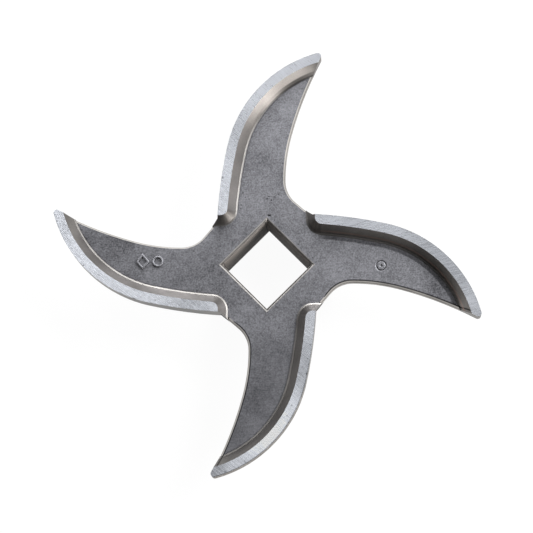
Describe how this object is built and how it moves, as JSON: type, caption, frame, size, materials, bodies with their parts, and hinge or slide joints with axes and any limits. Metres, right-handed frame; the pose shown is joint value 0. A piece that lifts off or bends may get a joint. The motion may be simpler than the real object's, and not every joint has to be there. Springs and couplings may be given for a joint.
{
  "type": "meat grinder knife",
  "caption": "Star-shaped cast cutting knife with sickle arms, raised ground lands along the leading edges and a square drive hole in the hub.",
  "frame": {"origin": "axis of the square drive hole at the back face of the hub, on which the knife lies", "axes": "+Z along the drive axis towards the plate the knife cuts against; X and Y square to the flats of the drive hole, so the arms leave the hub between the axes"},
  "size_m": [0.079, 0.079, 0.0166],
  "materials": {
    "cast_steel": "as cast, fine matt grain; lands ground"
  },
  "bodies": {
    "root": {"grinder_knife": "cast_steel"}
  },
  "joints": []
}
